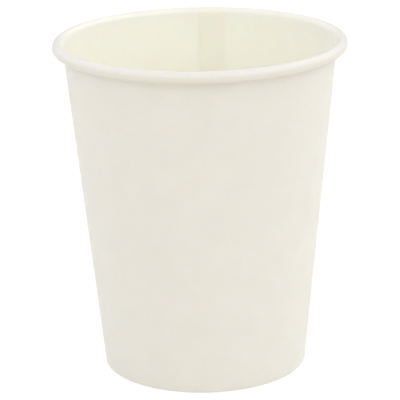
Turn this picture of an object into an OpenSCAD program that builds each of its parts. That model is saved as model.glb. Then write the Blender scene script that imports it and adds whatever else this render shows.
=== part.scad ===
// Paper hot-drink cup with a single wall.
// Two pieces of coated board: a side wall, which is wrapped into a cone, lapped at a side seam,
// rolled at the rim and folded into a hem at the foot, and a drawn bottom disc, whose skirt
// is sealed between the wall and the hem.
// Millimetres, +Z up, with the origin at the centre of the foot's plane. The seam is at +Y.

/* [Cup] */
// Outside diameter over the rolled rim
rim_d = 80; // [72:0.5:92]
// Outside diameter of the wall where its line meets the table
base_d = 56; // [48:0.5:62]
// Height from the table to the top of the rim
cup_h = 92; // [70:0.5:120]

/* [Board] */
// Thickness of the side wall's board with its lining
wall_t = 0.35; // [0.28:0.01:0.4]
// Thickness of the bottom disc's board with its lining
disc_t = 0.30; // [0.26:0.01:0.4]
// Sealed gap between two boards that lie on each other at the foot
seal_gap = 0.02; // [0.01:0.005:0.05]

/* [Rolled rim] */
// Outside width of the roll
roll_d = 3.2; // [2.8:0.05:3.8]
// Gap between the turns of the roll
turn_gap = 0.04; // [0.02:0.01:0.1]
// How far the end of the board is tucked in, after its full turn
tuck_angle = 100; // [20:5:150]

/* [Side seam] */
// Width of the lap
lap_w = 7.5; // [5:0.5:10]
// Width of the ramp by which the outer layer climbs over the inner edge
ramp_w = 1.5; // [1:0.1:2.5]
// Depth of the step inside the cup and over the roll, where the inner edge is pressed in
groove_depth = 0.15; // [0.08:0.01:0.2]

/* [Foot] */
// Inside radius of the hem's fold
fold_r = 0.05; // [0.03:0.01:0.1]
// Height of the hem above the table
hem_h = 6.5; // [4:0.1:7]
// Height of the bottom's underside above the table
recess_h = 7.5; // [7.3:0.1:10]
// Outside radius between the bottom and its skirt
disc_corner_r = 0.8; // [0.5:0.05:1]
// Gap between the skirt's edge and the fold below it
skirt_gap = 0.4; // [0.2:0.05:1]

/* [Knurl] */
// Number of flutes that the closing wheel presses into the inside of the hem
flutes = 90; // [60:1:110]
// Radius of a flute
flute_r = 0.9; // [0.6:0.05:1.2]
// Depth of a flute in the hem's board
flute_depth = 0.12; // [0.05:0.01:0.2]
// Height of the lower end of a flute above the table
flute_low = 1.2; // [0.8:0.1:2]

/* [Hidden] */
$fn = 120;

// The side that a bend turns to
RIGHT = -1;

wall_color = [0.92, 0.90, 0.86];
disc_color = [0.93, 0.91, 0.87];

// The roll's centre line lies where the roll just reaches the rim's diameter and the cup's height
roll_r = roll_d / 2;
roll_inner_r = roll_r - wall_t;
roll_at = [rim_d / 2 - roll_r, cup_h - roll_r];

// The wall's outer line runs from the foot's corner and touches the inside of the roll
base_r = base_d / 2;
corner_to_roll = norm([roll_at.x - base_r, roll_at.y]);
// Its lean has a cosine of six digits, so that turned lines still meet when they are written out
exact_lean = atan2(roll_at.x - base_r, roll_at.y) - asin(roll_inner_r / corner_to_roll);
lean = acos(round(cos(exact_lean) * 1e6) / 1e6);

// Each turn of the roll lies inside the one before it
turn_step = (wall_t + turn_gap) / 2;

// The boards that lie on each other at the foot: wall, skirt and hem, with a seal on each side
foot_stack = 2 * wall_t + disc_t + 2 * seal_gap;
fold_outer_r = fold_r + wall_t;
outer_fold_reach = fold_outer_r * tan(45 - lean / 2);
inner_fold_reach = fold_outer_r * tan(45 + lean / 2);
fold_flat_w = (foot_stack - 2 * fold_outer_r) / cos(lean);
fold_flat_r = base_r - outer_fold_reach - fold_flat_w;

// Straight lengths of the blank, measured along the lean
roll_rise = sqrt(pow(corner_to_roll, 2) - pow(roll_inner_r, 2));
wall_run = roll_rise - outer_fold_reach;
hem_run = hem_h / cos(lean) - inner_fold_reach;

// The lap's outer layer ends where it just fits between the wall and the second turn of the roll
second_turn_r = roll_r - turn_step;
second_turn_off = roll_inner_r + turn_step;
lap_tuck = sqrt(pow(second_turn_r, 2) - pow(second_turn_off - wall_t - turn_gap, 2));
lap_run = wall_run - lap_tuck;

// The outer layer's section starts inside the wall's board, so that the two are one piece
lap_layer_t = 1.5 * wall_t;
lap_fold_r = fold_r + wall_t / 2;
// The ramps start this far on the other side of the board's face, a little more than the round
// wall falls away over a ramp's width, so that they run out in a clean edge
ramp_sag = 0.75 * pow(ramp_w, 2) / base_r;

// The roll presses the inner edge in harder, so the groove gets shallower turn by turn
first_turn_groove = groove_depth * 2 / 3;
second_turn_groove = groove_depth / 2;

// The bottom disc seats against the inside of the wall
disc_top = recess_h + disc_t;
disc_edge_r = base_r + disc_top * tan(lean) - (wall_t + seal_gap) / cos(lean);
disc_corner_reach = disc_corner_r * tan(45 + lean / 2);
disc_flat_r = disc_edge_r - disc_corner_reach;
skirt_low = wall_t + skirt_gap;
skirt_run = (disc_top - skirt_low) / cos(lean) - disc_corner_reach;

// A small tongue inside the board, across the line where two stretches of it meet
module tongue(t) {
    square(t / 2, center = true);
}

// A flat stretch of board, drawn from the origin along +Y, and then what follows it
module straight(t, run) {
    translate([-t / 2, 0]) square([t, run]);
    if ($children > 0) translate([0, run]) {
        tongue(t);
        children();
    }
}

// A bend by up to 180 degrees with its inside radius, and then what follows it.
// It turns to the left, or to the right with a side of -1.
module bend(t, inner_r, angle, side = 1) {
    outer_r = inner_r + t;
    mid_r = inner_r + t / 2;
    translate([-side * mid_r, 0]) {
        intersection() {
            difference() {
                circle(outer_r);
                circle(inner_r);
            }
            translate([-2 * outer_r, 0]) square([4 * outer_r, 2 * outer_r]);
            rotate(side * angle) translate([-2 * outer_r, -2 * outer_r])
                square([4 * outer_r, 2 * outer_r]);
        }
        if ($children > 0) rotate(side * angle) translate([side * mid_r, 0]) {
            tongue(t);
            children();
        }
    }
}

// Section of the side wall: the fold's flat on the table, the wall and the roll on one side of it
// and the hem on the other
module wall_section() {
    translate([fold_flat_r, wall_t / 2]) {
        tongue(wall_t);
        rotate(-90) straight(wall_t, fold_flat_w)
            bend(wall_t, fold_r, 90 - lean)
            straight(wall_t, wall_run)
            bend(wall_t, roll_inner_r, 180, RIGHT)
            bend(wall_t, roll_inner_r - turn_step, 180, RIGHT)
            bend(wall_t, roll_inner_r - 2 * turn_step, tuck_angle, RIGHT);
        rotate(90) bend(wall_t, fold_r, 90 + lean, RIGHT) straight(wall_t, hem_run);
    }
}

// Section of the lap's outer layer: it follows the wall, the fold and the hem on their outside
module lap_section() {
    intersection() {
        translate([fold_flat_r, (wall_t - lap_layer_t) / 2]) {
            tongue(lap_layer_t);
            rotate(-90) straight(lap_layer_t, fold_flat_w)
                bend(lap_layer_t, lap_fold_r, 90 - lean)
                straight(lap_layer_t, lap_run);
            rotate(90) bend(lap_layer_t, lap_fold_r, 90 + lean, RIGHT)
                straight(lap_layer_t, hem_run);
        }
        square([rim_d, cup_h]);
    }
}

// Places its children at the seam: Z runs up the wall's outside and Y points straight out of it
module at_seam() {
    translate([0, base_r, 0]) rotate([-lean, 0, 0]) children();
}

// The second layer of the blank over its inner edge. It climbs by a ramp, on the wall and on the
// hem alike, and ends in a raw edge.
module lap() {
    reach = lap_w;
    intersection() {
        rotate_extrude() lap_section();
        at_seam() translate([0, 0, -cup_h / 2]) linear_extrude(2 * cup_h) polygon([
            [-ramp_w, -ramp_sag],
            [ramp_w, 2 * wall_t + ramp_sag],
            [ramp_w, reach],
            [lap_w, reach],
            [lap_w, -reach],
            [ramp_w, -reach],
            [ramp_w, -foot_stack - 2 * wall_t],
            [-ramp_w, -foot_stack]
        ]);
    }
}

// The groove along the inner edge, up the inside of the wall and over the roll
module edge_groove() {
    at_seam() {
        translate([0, 0, skirt_low]) linear_extrude(roll_rise + roll_inner_r - skirt_low) polygon([
            [-ramp_w, -wall_t - ramp_sag],
            [0, groove_depth - wall_t],
            [0, -wall_t - disc_t / 2],
            [-ramp_w, -wall_t - disc_t / 2]
        ]);
        translate([0, roll_inner_r, roll_rise]) roll_groove(roll_r, first_turn_groove, 50, 220);
        translate([0, second_turn_off, roll_rise])
            roll_groove(second_turn_r, second_turn_groove, 0, 90);
    }
}

// The groove round a turn of the roll with outside radius r, about the X axis.
// The angles count from straight down, over the outside.
module roll_groove(r, depth, start, angle) {
    rotate([0, 90, 0]) rotate_extrude(start = start, angle = angle) polygon([
        [r + ramp_sag, -ramp_w],
        [r - depth, 0],
        [r + wall_t, 0],
        [r + wall_t, -ramp_w]
    ]);
}

// The flutes of the knurl, which leave the two edges of the lap alone and lie higher on its layer
module knurl() {
    hem_r = base_r - foot_stack;
    edge_room = flute_r / 2;
    for (i = [0:flutes - 1]) {
        turn = 360 * i / flutes;
        x = hem_r * sin(turn);
        behind = cos(turn) > 0;
        on_lap = behind && x > 0 && x < lap_w;
        at_edge = behind && (abs(x) < edge_room || abs(x - lap_w) < edge_room);
        layer = on_lap ? wall_t : 0;
        if (!at_edge) rotate(-turn) at_seam()
            translate([0, flute_depth - foot_stack - layer - flute_r, flute_low])
            cylinder(h = hem_h, r = flute_r);
    }
}

module side_wall() {
    color(wall_color) difference() {
        union() {
            rotate_extrude() wall_section();
            lap();
        }
        edge_groove();
        knurl();
    }
}

module bottom_disc() {
    color(disc_color) rotate_extrude() translate([0, disc_top - disc_t / 2])
        rotate(-90) straight(disc_t, disc_flat_r)
        bend(disc_t, disc_corner_r - disc_t, 90 + lean, RIGHT)
        straight(disc_t, skirt_run);
}

side_wall();
bottom_disc();
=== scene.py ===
# %% [markdown]
# # A paper coffee cup
# A paper cup is two pieces of coated board: a wall, wrapped into a cone, and a round bottom.
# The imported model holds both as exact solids. This notebook loads them as a fixed frame and
# makes the finished surface of each one in the same place, with the lap of the side seam, the
# raw edges of the board, the fibre of the paper and the soft sheen of the lining.

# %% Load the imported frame
import math

import bmesh
import bpy
import numpy as np
from mathutils import Matrix, Vector


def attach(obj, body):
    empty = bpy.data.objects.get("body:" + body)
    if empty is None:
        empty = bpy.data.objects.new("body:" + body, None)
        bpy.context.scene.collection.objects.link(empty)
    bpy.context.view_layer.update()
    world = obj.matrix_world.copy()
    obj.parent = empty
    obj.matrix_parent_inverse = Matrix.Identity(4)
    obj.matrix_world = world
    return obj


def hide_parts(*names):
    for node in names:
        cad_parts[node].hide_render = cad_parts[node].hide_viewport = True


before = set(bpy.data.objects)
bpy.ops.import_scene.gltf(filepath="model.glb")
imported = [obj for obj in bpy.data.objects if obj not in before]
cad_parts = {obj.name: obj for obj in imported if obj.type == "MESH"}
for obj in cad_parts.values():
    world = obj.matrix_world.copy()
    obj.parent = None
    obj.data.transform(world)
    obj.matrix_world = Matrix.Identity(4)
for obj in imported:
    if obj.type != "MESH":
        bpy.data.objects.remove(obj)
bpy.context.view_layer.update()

# %% [markdown]
# ## The sizes of the board
# Every size is the one that the solids were made with, in millimetres. The few that follow from
# others, such as the lean of the wall and how far a fold reaches, are worked out again here, so
# that the finished surface lies exactly on the solid one. Blender itself counts in metres, so
# each size is multiplied by MM at the moment when it reaches a mesh or a shader.

# %% Sizes in millimetres
MM = 0.001
RIM_D, BASE_D, CUP_H = 80.0, 56.0, 92.0
WALL_T, DISC_T, SEAL_GAP = 0.35, 0.30, 0.02
ROLL_D, TURN_GAP, TUCK_ANGLE = 3.2, 0.04, 100.0
LAP_W, RAMP_W, GROOVE_DEPTH = 7.5, 1.5, 0.15
FOLD_R, HEM_H, RECESS_H = 0.05, 6.5, 7.5
DISC_CORNER_R, SKIRT_GAP = 0.8, 0.4
FLUTES, FLUTE_R, FLUTE_DEPTH, FLUTE_LOW = 90, 0.9, 0.12, 1.2

base_r = BASE_D / 2
roll_r = ROLL_D / 2
roll_inner_r = roll_r - WALL_T
roll_at = (RIM_D / 2 - roll_r, CUP_H - roll_r)
corner_to_roll = math.hypot(roll_at[0] - base_r, roll_at[1])
lean = math.atan2(roll_at[0] - base_r, roll_at[1]) - math.asin(roll_inner_r / corner_to_roll)
lean_deg = math.degrees(lean)
turn_step = (WALL_T + TURN_GAP) / 2
print("the wall leans by", round(lean_deg, 3), "degrees")

# %% Lengths of the flat blank
foot_stack = 2 * WALL_T + DISC_T + 2 * SEAL_GAP
fold_outer_r = FOLD_R + WALL_T
outer_fold_reach = fold_outer_r * math.tan(math.pi / 4 - lean / 2)
inner_fold_reach = fold_outer_r * math.tan(math.pi / 4 + lean / 2)
fold_flat_w = (foot_stack - 2 * fold_outer_r) / math.cos(lean)
fold_flat_r = base_r - outer_fold_reach - fold_flat_w
roll_rise = math.sqrt(corner_to_roll ** 2 - roll_inner_r ** 2)
wall_run = roll_rise - outer_fold_reach
hem_run = HEM_H / math.cos(lean) - inner_fold_reach
second_turn_off = roll_inner_r + turn_step
lap_tuck = math.sqrt((roll_r - turn_step) ** 2 - (second_turn_off - WALL_T - TURN_GAP) ** 2)
lap_run = wall_run - lap_tuck
print("the board runs", round(wall_run, 2), "mm up the wall")
print("and", round(hem_run, 2), "mm up the hem")

# %% [markdown]
# ## A board in section
# Cut the cup in half and each piece shows as one thin line that starts at a raw edge, turns
# through folds and rolls, and ends at another raw edge. A curve object with a bevel could give
# that line a thickness, but here the two faces of the board need to be told apart: one is plain
# paper and the other is lined. So the centre line is walked in code, like folding a strip by
# hand, and each stop on the way keeps the direction that points to the plain side.

# %% Walk a board's centre line
LEFT, RIGHT = 1, -1


class BoardLine:
    """The centre line of a board in the cup's half section, walked from edge to edge."""

    def __init__(self, start, heading):
        self.at = np.array(start, float)
        self.heading = math.radians(heading)
        self.points, self.normals, self.runs, self.names = [], [], [], []
        self.run = 0.0
        self.keep("edge")

    def keep(self, name):
        """Note the place, the plain side's direction and the length walked so far."""
        self.points.append(self.at.copy())
        self.normals.append((math.sin(self.heading), -math.cos(self.heading)))
        self.runs.append(self.run)
        self.names.append(name)

    def straight(self, name, stops):
        """Walk straight on and stop at these distances."""
        start = self.at.copy()
        way = np.array([math.cos(self.heading), math.sin(self.heading)])
        first = self.run
        for stop in stops:
            self.at = start + way * stop
            self.run = first + stop
            self.keep(name)

    def bend(self, name, mid_r, angle, steps, side):
        """Walk round an arc to the left or to the right, in equal steps."""
        turn = math.radians(angle) / steps
        for _ in range(steps):
            half = self.heading + side * turn / 2
            chord = 2 * mid_r * math.sin(turn / 2)
            self.at = self.at + chord * np.array([math.cos(half), math.sin(half)])
            self.heading += side * turn
            self.run += mid_r * turn
            self.keep(name)


half_ring = BoardLine((0.0, 0.0), 0)
half_ring.bend("half a ring", 1.0, 180, 36, LEFT)
print("half a ring of 1 mm radius is", round(half_ring.run, 3), "mm of board")

# %% Where the wall's line starts and stops
HEM_EDGE_STOPS = (0.15, 0.6)
HEM_STEPS = 6
FOOT_STOPS = [1.0, 2.5]
FIRST_BAND, BAND_H, BANDS = 5.0, 3.0, 27
LAP_END_STOPS = (-0.5, 0.0, 0.03)


def even(length, steps):
    """The ends of equal steps along a length."""
    return [length * (i + 1) / steps for i in range(steps)]


hem_rest = hem_run - HEM_EDGE_STOPS[-1]
hem_stops = [*HEM_EDGE_STOPS, *(HEM_EDGE_STOPS[-1] + stop for stop in even(hem_rest, HEM_STEPS))]
wall_stops = FOOT_STOPS + [FIRST_BAND + BAND_H * i for i in range(BANDS)]
wall_stops += [lap_run + stop for stop in LAP_END_STOPS] + [wall_run]

fold_mid_r = FOLD_R + WALL_T / 2
roll_mid_r = roll_inner_r + WALL_T / 2
up = np.array([math.sin(lean), math.cos(lean)])
out = np.array([math.cos(lean), -math.sin(lean)])
hem_bend_centre = np.array([fold_flat_r, WALL_T / 2 + fold_mid_r])
hem_top = hem_bend_centre - fold_mid_r * out + hem_run * up
print("the hem's raw edge is at radius and height", hem_top.round(2), "mm")

# %% The wall's line, from the hem's edge to the end of the roll
FOLD_STEPS = 6
TURNS = (
    # name, angle, steps; each turn of the roll is tighter than the one before it
    ("first turn", 180, 20),
    ("second turn", 180, 10),
    ("third turn", TUCK_ANGLE, 4),
)

wall_line = BoardLine(hem_top, 270 - lean_deg)
wall_line.straight("hem", hem_stops)
wall_line.bend("fold", fold_mid_r, 90 + lean_deg, FOLD_STEPS, LEFT)
wall_line.straight("fold", [fold_flat_w])
wall_line.bend("fold", fold_mid_r, 90 - lean_deg, FOLD_STEPS, LEFT)
wall_start_run = wall_line.run
wall_line.straight("wall", wall_stops)
for i, (turn_name, angle, steps) in enumerate(TURNS):
    wall_line.bend(turn_name, roll_mid_r - i * turn_step, angle, steps, RIGHT)
print("the wall's line has", len(wall_line.points), "stops over", round(wall_line.run, 1), "mm")
assert abs(wall_line.points[-1][0] - roll_at[0]) < roll_r, "the roll lies where the solid's is"

# %% [markdown]
# ## The wall as a sheet
# The real wall is one blank whose two straight edges lap over each other by 7.5 mm at the back.
# A plain revolve would lose that lap, so the sheet is built from columns that run up the cup.
# Round most of the cup they stand at even angles. At the seam they stand at fixed distances
# from the inner edge, because the lap is a strip of even width and not a wedge. Two columns
# stand in the same place where the board ends, and between them is the step of a raw edge.

# %% Where the columns stand
COLUMN_DEG = 2 / 3
STEADY_FROM, STEADY_TO = 24.0, 348.0
EDGE_STRIP = 0.12
RAMP_COLUMNS, COLUMNS_AFTER_LAP, COLUMNS_BEFORE_RAMP = 7, 14, 11

steady = np.arange(STEADY_FROM, STEADY_TO + COLUMN_DEG / 2, COLUMN_DEG)
lap_x = np.array([0.0, EDGE_STRIP, 0.9, 1.9, 2.9, 3.9, 4.9, 5.9, 6.8, LAP_W - EDGE_STRIP, LAP_W])
ramp_x = np.linspace(-RAMP_W, 0.0, RAMP_COLUMNS)
after_lap = np.linspace(0, 1, COLUMNS_AFTER_LAP + 1)[:-1]
before_ramp = np.linspace(0, 1, COLUMNS_BEFORE_RAMP + 2)[1:-1]


def column_angles(radius):
    """The angle of each column, clockwise from the seam, at a place with this radius."""
    lap = np.degrees(np.arcsin(lap_x / radius))
    ramp = 360 + np.degrees(np.arcsin(ramp_x / radius))
    out_of_lap = lap[-1] + after_lap * (STEADY_FROM - lap[-1])
    into_ramp = STEADY_TO + before_ramp * (ramp[0] - STEADY_TO)
    return np.radians(np.concatenate([lap, out_of_lap, steady, into_ramp, ramp]))


column_count = len(column_angles(base_r))
print("the wall has", column_count, "columns")

# %% How far each face of the board stands off its centre line
def smooth(t):
    """A soft step from 0 to 1 while t goes from 0 to 1."""
    t = np.clip(t, 0, 1)
    return t * t * (3 - 2 * t)


HAIR = 1e-6
dip = np.zeros(column_count)
dip[-RAMP_COLUMNS:] = smooth((ramp_x + RAMP_W) / RAMP_W)
climb = dip.copy()
climb[:len(lap_x)] = 1

GROOVE_DEPTHS = {
    # the roll presses the inner edge in harder, so the groove gets shallower turn by turn
    "wall": GROOVE_DEPTH,
    "first turn": GROOVE_DEPTH * 2 / 3,
    "second turn": GROOVE_DEPTH / 2,
}


def lap_share(name, run_on_wall):
    """1 where the outer layer of the lap lies, and 0 past its end under the roll."""
    past_end = "turn" in name or (name == "wall" and run_on_wall > lap_run + HAIR)
    return 0.0 if past_end else 1.0


print("the lap climbs", WALL_T, "mm outside and the groove dips", GROOVE_DEPTH, "mm inside")

# %% [markdown]
# A closing wheel with fine teeth presses the hem against the bottom's skirt. Its marks are rows
# of short upright flutes that are seen only from below. They are hollows in the hem's plain
# face, so here they are part of the same distance that holds the lap's step.

# %% The flutes of the knurl
def flute_depth(angles, radius, height):
    """How deep the wheel's teeth press into the hem at these angles."""
    if height < FLUTE_LOW:
        return np.zeros_like(angles)
    pitch = 2 * math.pi / FLUTES
    tooth = np.round(angles / pitch) * pitch
    off = np.abs(angles - tooth) * radius
    tooth_x = radius * np.sin(tooth)
    near_edge = (np.abs(tooth_x) < FLUTE_R / 2) | (np.abs(tooth_x - LAP_W) < FLUTE_R / 2)
    chord = np.sqrt(np.maximum(FLUTE_R ** 2 - off ** 2, 0))
    depth = np.clip(chord - (FLUTE_R - FLUTE_DEPTH), 0, None)
    return np.where(near_edge & (np.cos(tooth) > 0), 0, depth)


print("the knurl has", FLUTES, "flutes of", FLUTE_DEPTH, "mm")

# %% Both faces of the wall
def wall_faces():
    """Places of all corners: rows along the line, columns round the cup, lined and plain face."""
    lined, plain = [], []
    for point, normal, run, name in zip(
            wall_line.points, wall_line.normals, wall_line.runs, wall_line.names):
        depth = GROOVE_DEPTHS.get(name, 0.0) * dip
        lift = WALL_T * climb * lap_share(name, run - wall_start_run)
        if name in ("hem", "edge"):
            lift = lift - flute_depth(column_angles(point[0]), point[0], point[1])
        for face, offset in ((lined, depth - WALL_T / 2), (plain, WALL_T / 2 + lift)):
            r = point[0] + normal[0] * offset
            z = np.maximum(point[1] + normal[1] * offset, 0)
            angles = column_angles(r.mean())
            face.append(np.stack([r * np.sin(angles), r * np.cos(angles), z], axis=1))
    return np.array(lined), np.array(plain)


lined_face, plain_face = wall_faces()
print("wall corners", lined_face.shape, "highest", round(float(lined_face[..., 2].max()), 3), "mm")

# %% [markdown]
# The two faces and the raw edges are joined into one closed mesh. Each kind of face gets its own
# material slot: plain board outside, lining inside and over the roll, and the bare core of the
# board at every cut edge. Corners that fall on the same spot are welded, so that a step stays
# only where the board really ends.

# %% Turn corners and faces into a smooth piece
PLAIN, LINED, CORE = 0, 1, 2
WELD_DISTANCE = 2e-7
SHARP_DEG = 38


def weld(mesh):
    """Join corners that share a spot, and turn all faces outwards."""
    work = bmesh.new()
    work.from_mesh(mesh)
    bmesh.ops.remove_doubles(work, verts=work.verts, dist=WELD_DISTANCE)
    bmesh.ops.recalc_face_normals(work, faces=work.faces)
    open_edges = sum(1 for edge in work.edges if len(edge.link_faces) != 2)
    work.to_mesh(mesh)
    work.free()
    print(mesh.name, "has", len(mesh.polygons), "faces and", open_edges, "open edges")


def finish_mesh(name, corners, faces, kinds):
    """An object from corners in metres, with smooth faces and crisp folds."""
    mesh = bpy.data.meshes.new(name)
    mesh.from_pydata([tuple(corner) for corner in corners], [], faces)
    mesh.polygons.foreach_set("material_index", kinds)
    piece = bpy.data.objects.new(name, mesh)
    bpy.context.scene.collection.objects.link(piece)
    weld(mesh)
    mesh.polygons.foreach_set("use_smooth", [True] * len(mesh.polygons))
    mesh.set_sharp_from_angle(angle=math.radians(SHARP_DEG))
    return piece

# %% Make the wall from its two faces
def strip(rows, cols, j):
    """The four corners of each face between column j and the next one."""
    k = (j + 1) % cols
    for i in range(rows - 1):
        yield i * cols + j, i * cols + k, (i + 1) * cols + k, (i + 1) * cols + j


def wall_mesh(name, lined, plain, inner_edge_col, outer_edge_col):
    """One closed mesh from the two faces of the wall; the lap's raw edges follow two columns."""
    rows, cols, _ = lined.shape
    corners = np.concatenate([lined.reshape(-1, 3), plain.reshape(-1, 3)]) * MM
    side = rows * cols
    top = (rows - 1) * cols
    faces, kinds = [], []
    for j in range(cols):
        k = (j + 1) % cols
        lined_kind = CORE if j == inner_edge_col else LINED
        plain_kind = CORE if j == outer_edge_col else PLAIN
        for a, b, c, d in strip(rows, cols, j):
            faces += [(a, d, c, b), (side + a, side + b, side + c, side + d)]
            kinds += [lined_kind, plain_kind]
        faces.append((j, k, side + k, side + j))
        faces.append((top + k, top + j, side + top + j, side + top + k))
        kinds += [CORE, CORE]
    return finish_mesh(name, corners, faces, kinds)


wall = wall_mesh("cup_wall", lined_face, plain_face,
                 inner_edge_col=column_count - 1, outer_edge_col=len(lap_x) - 1)

# %% [markdown]
# ## The bottom
# The bottom is a disc of thinner board, drawn down into a shallow pan. Its flat floor is not
# quite flat on a real cup: drawing the rim of the disc leaves it a little bowed, with faint
# radial puckers where the board was gathered into the bend. Those puckers are what a plain
# lathe shape would lack, so the line is again walked in code and the puckers are added to it.

# %% The bottom's line
FIRST_RING, RING_STEP, RINGS = 1.5, 2.0, 12
CORNER_STOPS = (-1.2, -0.4)
CORNER_STEPS, SKIRT_STEPS = 8, 4
MIDDLE_R = 0.4

disc_top = RECESS_H + DISC_T
disc_edge_r = base_r + disc_top * math.tan(lean) - (WALL_T + SEAL_GAP) / math.cos(lean)
disc_flat_r = disc_edge_r - DISC_CORNER_R * math.tan(math.pi / 4 + lean / 2)
skirt_low = WALL_T + SKIRT_GAP
skirt_run = (disc_top - skirt_low) / math.cos(lean) - (disc_edge_r - disc_flat_r)
floor_stops = [FIRST_RING + RING_STEP * i for i in range(RINGS)]
floor_stops += [disc_flat_r + stop for stop in CORNER_STOPS]

disc_line = BoardLine((MIDDLE_R, disc_top - DISC_T / 2), 0)
disc_line.straight("floor", floor_stops)
disc_line.bend("corner", DISC_CORNER_R - DISC_T / 2, 90 + lean_deg, CORNER_STEPS, RIGHT)
disc_line.straight("skirt", even(skirt_run, SKIRT_STEPS))
print("the bottom's floor ends at", round(disc_flat_r, 2), "mm from the middle")

# %% The two faces of the bottom
DISC_COLUMNS = 360
BOW, PUCKER = 0.10, 0.018
PUCKER_FROM, PUCKER_RISE, PUCKER_END = 0.72, 0.2, 0.8
PUCKER_WAVES = (
    # waves round the bottom, height, shift
    (23, 1.0, 0.7),
    (37, 0.6, 2.1),
    (61, 0.5, 0.0),
)


def disc_faces():
    """Both faces of the bottom, bowed a little and puckered next to the bend."""
    turns = np.linspace(0, 2 * math.pi, DISC_COLUMNS, endpoint=False)
    wave = sum(height * np.sin(count * turns + shift) for count, height, shift in PUCKER_WAVES)
    lined, plain = [], []
    for point, normal, name in zip(disc_line.points, disc_line.normals, disc_line.names):
        drop = np.zeros_like(turns)
        if name in ("edge", "floor"):
            share = smooth((point[0] - PUCKER_FROM * disc_flat_r) / (PUCKER_RISE * disc_flat_r))
            share *= 1 - smooth((point[0] - disc_flat_r + PUCKER_END) / PUCKER_END)
            drop = PUCKER * share * wave - BOW * (1 - smooth(point[0] / disc_flat_r))
        for face, offset in ((lined, -DISC_T / 2), (plain, DISC_T / 2)):
            r = point[0] + normal[0] * offset
            z = point[1] + normal[1] * offset + drop
            face.append(np.stack([r * np.sin(turns), r * np.cos(turns), z], axis=1))
    return np.array(lined), np.array(plain)

# %% Make the bottom
def disc_mesh(name, lined, plain):
    """The bottom as a closed mesh, with its middle filled."""
    rows, cols, _ = lined.shape
    middle = np.array([[0, 0, lined[0, :, 2].mean()], [0, 0, plain[0, :, 2].mean()]])
    corners = np.concatenate([lined.reshape(-1, 3), plain.reshape(-1, 3), middle]) * MM
    side = rows * cols
    top = (rows - 1) * cols
    faces, kinds = [], []
    for j in range(cols):
        k = (j + 1) % cols
        for a, b, c, d in strip(rows, cols, j):
            faces += [(a, d, c, b), (side + a, side + b, side + c, side + d)]
            kinds += [LINED, PLAIN]
        faces += [(2 * side, j, k), (2 * side + 1, side + k, side + j)]
        kinds += [LINED, PLAIN]
        faces.append((top + k, top + j, side + top + j, side + top + k))
        kinds.append(CORE)
    return finish_mesh(name, corners, faces, kinds)


bottom = disc_mesh("cup_bottom", *disc_faces())

# %% [markdown]
# ## Paper fibre, a shared effect
# Board is made of matted fibres. Close up it has a fine felt of short lines, and from further
# away it is slightly cloudy, because the pulp never settles quite evenly. Plain board, lining
# and bare core all show this, each more or less strongly. So it is one node group with named
# inputs, placed in all three materials with its own values. It gives a colour and a height, and
# the shader itself stays in each material.

# %% Helpers for colours and nodes
def tone(red, green, blue):
    """A colour as a paint chart gives it, 0 to 255, turned into Blender's linear values."""
    def linear(v):
        v = v / 255
        return v / 12.92 if v <= 0.04045 else ((v + 0.055) / 1.055) ** 2.4
    return (linear(red), linear(green), linear(blue), 1.0)


def add(tree, kind, **settings):
    """A new node with these settings."""
    node = tree.nodes.new(kind)
    for key, value in settings.items():
        setattr(node, key, value)
    return node


def fill(node, **values):
    """Write values on a node's inputs, which are named with underscores for spaces."""
    for key, value in values.items():
        node.inputs[key.replace("_", " ")].default_value = value
    return node


print("a middle grey is", [round(v, 3) for v in tone(128, 128, 128)])

# %% The fibre group's sockets
fibre = bpy.data.node_groups.new("Paper fibre", "ShaderNodeTree")


def socket(name, way, kind, value=None):
    """A named input or output of the fibre group."""
    made = fibre.interface.new_socket(name=name, in_out=way, socket_type=kind)
    if value is not None:
        made.default_value = value


socket("Light tone", "INPUT", "NodeSocketColor", tone(236, 233, 222))
socket("Dark tone", "INPUT", "NodeSocketColor", tone(228, 224, 211))
socket("Cloud size", "INPUT", "NodeSocketFloat", 150.0)
socket("Fibre size", "INPUT", "NodeSocketFloat", 2400.0)
socket("Fibre share", "INPUT", "NodeSocketFloat", 0.35)
socket("Color", "OUTPUT", "NodeSocketColor")
socket("Height", "OUTPUT", "NodeSocketFloat")
socket("Cloud", "OUTPUT", "NodeSocketFloat")
print("the fibre group has", len(fibre.interface.items_tree), "sockets")

# %% The fibre group's nodes
FIBRE_STRETCH = (1.0, 1.0, 0.42)
NOISE_LOW, NOISE_HIGH = 0.3, 0.7


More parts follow.
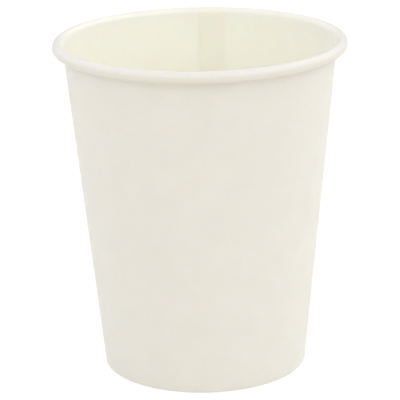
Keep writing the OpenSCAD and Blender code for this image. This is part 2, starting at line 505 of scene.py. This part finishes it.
def build_fibre():
    """A fine felt of fibres and soft clouds, mixed into one tone and one height."""
    take = add(fibre, "NodeGroupInput")
    give = add(fibre, "NodeGroupOutput")
    place = add(fibre, "ShaderNodeTexCoord")
    stretch = add(fibre, "ShaderNodeMapping")
    stretch.inputs["Scale"].default_value = FIBRE_STRETCH
    cloud = fill(add(fibre, "ShaderNodeTexNoise"), Detail=3.0, Roughness=0.55)
    hair = fill(add(fibre, "ShaderNodeTexNoise"), Detail=4.0, Roughness=0.6, Distortion=1.4)
    weigh = add(fibre, "ShaderNodeMix", data_type="FLOAT")
    sharpen = add(fibre, "ShaderNodeMapRange")
    fill(sharpen, From_Min=NOISE_LOW, From_Max=NOISE_HIGH)
    blend = add(fibre, "ShaderNodeMix", data_type="RGBA")
    link = fibre.links.new
    link(place.outputs["Object"], stretch.inputs["Vector"])
    link(place.outputs["Object"], cloud.inputs["Vector"])
    link(stretch.outputs["Vector"], hair.inputs["Vector"])
    link(take.outputs["Cloud size"], cloud.inputs["Scale"])
    link(take.outputs["Fibre size"], hair.inputs["Scale"])
    link(take.outputs["Fibre share"], weigh.inputs[0])
    link(cloud.outputs[0], weigh.inputs[2])
    link(hair.outputs[0], weigh.inputs[3])
    link(weigh.outputs[0], sharpen.inputs["Value"])
    link(sharpen.outputs[0], blend.inputs[0])
    link(take.outputs["Dark tone"], blend.inputs[6])
    link(take.outputs["Light tone"], blend.inputs[7])
    link(blend.outputs[2], give.inputs["Color"])
    link(hair.outputs[0], give.inputs["Height"])
    link(cloud.outputs[0], give.inputs["Cloud"])


build_fibre()
print("the fibre group has", len(fibre.nodes), "nodes")

# %% [markdown]
# ## Tones that follow the place on the cup
# Some tones are painted by the place on the cup, and most of them are painted light and shade.
# Along the seam two boards lie on each other, so less light shines through, and the lining there
# is painted warmer as a painted shade. Painting by hand would do it, but a mask that is worked
# out from the point's own coordinates needs no image and follows the cup's sizes. A few small
# helpers make such masks from math nodes.

# %% Sums with nodes
def reckon(tree, operation, *values):
    """One math node, fed by other nodes' outputs or by plain numbers."""
    node = add(tree, "ShaderNodeMath", operation=operation)
    for slot, value in zip(node.inputs, values):
        if isinstance(value, (int, float)):
            slot.default_value = value
        else:
            tree.links.new(value, slot)
    return node.outputs[0]


def times(tree, first, *others):
    """Several masks or values multiplied with each other."""
    for other in others:
        first = reckon(tree, "MULTIPLY", first, other)
    return first


def place_of(tree, kind):
    """The x, y and z of a texture coordinate."""
    place = add(tree, "ShaderNodeTexCoord")
    split = add(tree, "ShaderNodeSeparateXYZ")
    tree.links.new(place.outputs[kind], split.inputs[0])
    return split.outputs

# %% Masks made from coordinates
def between(tree, value, low, high, soft):
    """A mask that is 1 where the value lies between low and high, with soft edges."""
    steps = []
    for edge, before, after in ((low, 0.0, 1.0), (high, 1.0, 0.0)):
        step = add(tree, "ShaderNodeMapRange", interpolation_type="SMOOTHSTEP")
        fill(step, From_Min=edge - soft, From_Max=edge + soft, To_Min=before, To_Max=after)
        tree.links.new(value, step.inputs["Value"])
        steps.append(step.outputs[0])
    return times(tree, *steps)


def tint(tree, colour, mask, shade):
    """Multiply a colour by a shade where the mask is 1."""
    mix = add(tree, "ShaderNodeMix", data_type="RGBA", blend_type="MULTIPLY")
    mix.inputs[7].default_value = (*shade, 1.0)
    tree.links.new(mask, mix.inputs[0])
    tree.links.new(colour, mix.inputs[6])
    return mix.outputs[2]

# %% [markdown]
# ## Three finishes of one board
# The plain outside is dull, a warm off-white, and scatters light evenly. Close under the roll it
# is painted paler, a painted light that lifts the shade the roll casts there. The inside carries a
# thin film of plastic: it is a little yellower, smoother, and has a soft sheen that shows as a
# highlight along the roll. Over the roll the lining gets a painted shade, slightly deeper and
# cooler, that comes in gradually at its crest, and its low side gets a warmer, darker painted
# shade. The bare core at the cut edges is rougher and whiter. A little light goes into all of
# them and comes out again close by, which is what subsurface scattering does.

# %% Where each finish changes its tone
# painted shade: the lap's tint stands in for the light that shines through less where two boards
# lie
LAP_PAINTED_SHADE, LAP_SOFT = (1.06, 0.97, 0.945), 0.6
# painted shade over the roll, cooler toward white at its crest
ROLL_PAINTED_SHADE = (0.88, 0.868, 0.905)
# painted shade on the roll's low side, darker and warmer
LOW_SIDE_PAINTED_SHADE, LOW_SIDE_DROP, LOW_SIDE_SOFT = (0.94, 0.935, 0.87), 1.12, 0.48
# painted light that lifts the shade close under the roll
UNDER_ROLL_PAINTED_LIGHT, UNDER_ROLL_LIGHT_DROP, UNDER_ROLL_LIGHT_SOFT = (1.19, 1.19, 1.17), 0.4, 0.9
FAR_OUT = 1.0

roll_inside_at = RIM_D / 2 - ROLL_D
roll_crest_at = RIM_D / 2 - roll_r


def shade_lining(tree, colour):
    """Painted shade: warmer over the lap, where less light shines through, deeper and cooler over
    the roll with a whiter crest, and darker and warmer on the roll's low side.
    """
    x, y, z = place_of(tree, "Object")
    away = reckon(tree, "SQRT", reckon(tree, "ADD", times(tree, x, x), times(tree, y, y)))
    half_way = (roll_inside_at + roll_crest_at) / 2
    on_roll = between(tree, away, half_way * MM, FAR_OUT, (half_way - roll_inside_at) * MM)
    low_side = between(tree, z, 0.0, (CUP_H - LOW_SIDE_DROP) * MM, LOW_SIDE_SOFT * MM)
    lap = times(tree, between(tree, x, 0.0, LAP_W * MM, LAP_SOFT * MM),
                reckon(tree, "GREATER_THAN", y, 0.0),
                reckon(tree, "SUBTRACT", 1.0, on_roll),
                reckon(tree, "GREATER_THAN", z, disc_top * MM))
    # painted shade over the lap
    colour = tint(tree, colour, lap, LAP_PAINTED_SHADE)
    # painted shade over the roll
    colour = tint(tree, colour, on_roll, ROLL_PAINTED_SHADE)
    # painted shade on the roll's low side
    return tint(tree, colour, times(tree, low_side, on_roll), LOW_SIDE_PAINTED_SHADE)


def shade_plain(tree, colour):
    """Painted light: paler close under the roll, which lifts the shade the roll casts there."""
    z = place_of(tree, "Object")[2]
    # painted light close under the roll, where the roll casts its shade
    painted_light_low = CUP_H - ROLL_D - UNDER_ROLL_LIGHT_DROP
    under_roll_light = between(tree, z, painted_light_low * MM, FAR_OUT, UNDER_ROLL_LIGHT_SOFT * MM)
    return tint(tree, colour, under_roll_light, UNDER_ROLL_PAINTED_LIGHT)


def shade_core(tree, colour):
    """The same all over."""
    return colour


print("the lap's warmer band is", LAP_W, "mm wide, and the roll's own tone comes in from",
      roll_inside_at, "to", roll_crest_at, "mm from the middle")

# %% The three board materials
GLOW_RADIUS, GLOW_DEPTH = (1.0, 0.9, 0.72), 0.2
ROUGHNESS_SPREAD = 0.04


def board_material(name, shade, light, dark, share, size, bump_mm, roughness, sheen):
    """One finish of the board: its two tones, its fibre, its roughness and its sheen."""
    made = bpy.data.materials.new(name)
    made.use_nodes = True
    tree = made.node_tree
    shader = tree.nodes["Principled BSDF"]
    grain = add(tree, "ShaderNodeGroup", node_tree=fibre)
    fill(grain, Light_tone=light, Dark_tone=dark, Fibre_share=share, Fibre_size=size)
    bump = fill(add(tree, "ShaderNodeBump"), Strength=1.0, Distance=bump_mm * MM)
    dull = fill(add(tree, "ShaderNodeMapRange"), From_Min=NOISE_LOW, From_Max=NOISE_HIGH,
                To_Min=roughness - ROUGHNESS_SPREAD, To_Max=roughness + ROUGHNESS_SPREAD)
    fill(shader, Specular_IOR_Level=sheen, Subsurface_Weight=1.0,
         Subsurface_Radius=GLOW_RADIUS, Subsurface_Scale=GLOW_DEPTH * MM)
    tree.links.new(shade(tree, grain.outputs["Color"]), shader.inputs["Base Color"])
    tree.links.new(grain.outputs["Height"], bump.inputs["Height"])
    tree.links.new(bump.outputs["Normal"], shader.inputs["Normal"])
    tree.links.new(grain.outputs["Cloud"], dull.inputs["Value"])
    tree.links.new(dull.outputs[0], shader.inputs["Roughness"])
    return made


FINISHES = (
    # name, shade, light tone, dark tone, fibre share, fibre size, bump in mm, roughness, sheen
    ("plain board", shade_plain, tone(231, 228, 219), tone(227, 224, 214),
     0.4, 2400.0, 0.006, 0.72, 0.35),
    ("lining", shade_lining, tone(249, 248, 238), tone(247, 245, 234),
     0.25, 1500.0, 0.004, 0.38, 0.55),
    ("bare core", shade_core, tone(240, 237, 228), tone(226, 221, 206),
     0.75, 3600.0, 0.012, 0.9, 0.3),
)
finishes = [board_material(*look) for look in FINISHES]
print("made", [finish.name for finish in finishes])

# %% [markdown]
# ## The pieces take their finishes
# Each mesh carries the three finishes in the order of its slots: plain board, lining, bare core.
# It then takes the place of one solid of the frame and rides on the body that holds it.

# %% Dress both pieces and say what they stand for
for piece, node, slot_name in ((wall, "side_wall", "wall_board"),
                               (bottom, "bottom_disc", "bottom_board")):
    for finish in finishes:
        piece.data.materials.append(finish)
    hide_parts(node)
    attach(piece, "root")
    print(piece.name, "stands for", node)

# %% [markdown]
# ## The floor
# The photograph is a studio shot on pure white. The floor is a plain pale sheet. For the camera
# it is lifted to white, while the light that it sends back to the cup stays that of a pale
# floor. A brighter lamp would whiten it too, but it would wash out the cup's own tones.

# %% A pale floor that the camera sees as white
REACH = 4.0
FLOOR_DROP = 0.05
FLOOR_TONE, FLOOR_TONE_SEEN, FLOOR_LIFT = 0.90, 0.35, 0.70


def floor_finish():
    """Pale and dull for the light, and lifted by a glow that only the camera sees."""
    made = bpy.data.materials.new("pale floor")
    made.use_nodes = True
    tree = made.node_tree
    shader = fill(tree.nodes["Principled BSDF"], Roughness=0.9, Emission_Color=(1, 1, 1, 1))
    rays = add(tree, "ShaderNodeLightPath")
    pale = add(tree, "ShaderNodeMix", data_type="RGBA")
    pale.inputs[6].default_value = (FLOOR_TONE, FLOOR_TONE, FLOOR_TONE, 1)
    pale.inputs[7].default_value = (FLOOR_TONE_SEEN, FLOOR_TONE_SEEN, FLOOR_TONE_SEEN, 1)
    glow = times(tree, rays.outputs["Is Camera Ray"], FLOOR_LIFT)
    tree.links.new(rays.outputs["Is Camera Ray"], pale.inputs[0])
    tree.links.new(pale.outputs[2], shader.inputs["Base Color"])
    tree.links.new(glow, shader.inputs["Emission Strength"])
    return made


floor_mesh = bpy.data.meshes.new("studio_floor")
floor_mesh.from_pydata(
    [(-REACH, -REACH, 0), (REACH, -REACH, 0), (REACH, REACH, 0), (-REACH, REACH, 0)],
    [], [(0, 1, 2, 3)])
floor_mesh.materials.append(floor_finish())
floor = bpy.data.objects.new("studio_floor", floor_mesh)
floor.location.z = -FLOOR_DROP * MM
bpy.context.scene.collection.objects.link(floor)
print("the floor reaches", REACH, "m each way")

# %% [markdown]
# ## The soft light all round
# In the photograph nothing casts a hard shadow, because the light comes from all sides. Large
# area lamps could be set up round the cup, but a world that is brighter in some directions
# does the same and has no edges. Here it has four bands of height, and each band has its own
# strength from the front, the back, the right and the left. Most of the light comes from half
# way up, and a little more of it from the right. That gives the cup its gentle slope from left
# to right, and the roll throws a soft shade on the wall. The camera itself sees white.

# %% Light from four sides
LIGHT_BANDS = (
    # sine of the height from .. to, then strength from the front, back, right and left
    (-0.10, 0.26, 0.32, 0.26, 0.54, 0.48),
    (0.26, 0.57, 1.48, 0.80, 1.41, 1.08),
    (0.57, 0.87, 0.93, 0.90, 1.20, 0.97),
    (0.87, 1.10, 0.34, 0.34, 0.34, 0.34),
)
BAND_SOFT = 0.05
LEAST_LEVEL = 0.01


def light_from(tree, x, y, strengths):
    """Light that comes from four sides, each fading towards its neighbours."""
    sides = (times(tree, y, -1.0), y, x, times(tree, x, -1.0))
    total = 0.0
    for side, strength in zip(sides, strengths):
        facing = reckon(tree, "MAXIMUM", side, 0.0)
        total = reckon(tree, "ADD", times(tree, facing, strength), total)
    return total


def light_world(tree):
    """All bands of light added up, and plain white for the camera."""
    x, y, z = place_of(tree, "Generated")
    level = reckon(tree, "SQRT", reckon(tree, "SUBTRACT", 1.0, times(tree, z, z)))
    level = reckon(tree, "MAXIMUM", level, LEAST_LEVEL)
    x, y = (reckon(tree, "DIVIDE", value, level) for value in (x, y))
    total = 0.0
    for band_low, band_high, *strengths in LIGHT_BANDS:
        band = between(tree, z, band_low, band_high, BAND_SOFT)
        total = reckon(tree, "ADD", times(tree, band, light_from(tree, x, y, strengths)), total)
    rays = add(tree, "ShaderNodeLightPath")
    seen = add(tree, "ShaderNodeMix", data_type="FLOAT")
    seen.inputs[3].default_value = 1.0
    tree.links.new(total, seen.inputs[2])
    tree.links.new(rays.outputs["Is Camera Ray"], seen.inputs[0])
    background = fill(tree.nodes["Background"], Color=(1, 1, 1, 1))
    tree.links.new(seen.outputs[0], background.inputs["Strength"])


world = bpy.data.worlds.new("studio")
bpy.context.scene.world = world
world.use_nodes = True
light_world(world.node_tree)
print("the light has", len(LIGHT_BANDS), "bands and", len(world.node_tree.nodes), "nodes")

# %% [markdown]
# ## The camera
# The camera stands about 56 cm from the cup and 22 cm above the table, and looks down at it
# through a long lens. These numbers were found by laying the cup's own outline over the
# photograph: the ellipse of the rim, the slope of the sides and the curve of the foot.

# %% Place the camera
CAMERA_AT = Vector((0.0, -0.5568, 0.2211))
PITCH, YAW, ROLL = math.radians(17.463), math.radians(-0.075), math.radians(-1.092)
FOCAL_PX, FRAME_PX, SENSOR_MM = 2108.7, 400, 36.0
NEAREST, FARTHEST = 0.01, 20.0

ahead = Vector((math.sin(YAW) * math.cos(PITCH), math.cos(YAW) * math.cos(PITCH),
                -math.sin(PITCH)))
level_right = Vector((math.cos(YAW), -math.sin(YAW), 0.0))
level_up = level_right.cross(ahead)
right = level_right * math.cos(ROLL) + level_up * math.sin(ROLL)
above = -level_right * math.sin(ROLL) + level_up * math.cos(ROLL)

lens = bpy.data.cameras.new("camera")
lens.sensor_width = SENSOR_MM
lens.lens = FOCAL_PX * SENSOR_MM / FRAME_PX
lens.clip_start, lens.clip_end = NEAREST, FARTHEST
camera = bpy.data.objects.new("camera", lens)
camera.matrix_world = Matrix((
    (right.x, above.x, -ahead.x, CAMERA_AT.x),
    (right.y, above.y, -ahead.y, CAMERA_AT.y),
    (right.z, above.z, -ahead.z, CAMERA_AT.z),
    (0, 0, 0, 1)))
bpy.context.scene.collection.objects.link(camera)
bpy.context.scene.camera = camera
bpy.context.scene.view_settings.view_transform = "Standard"
print("lens", round(lens.lens, 1), "mm")
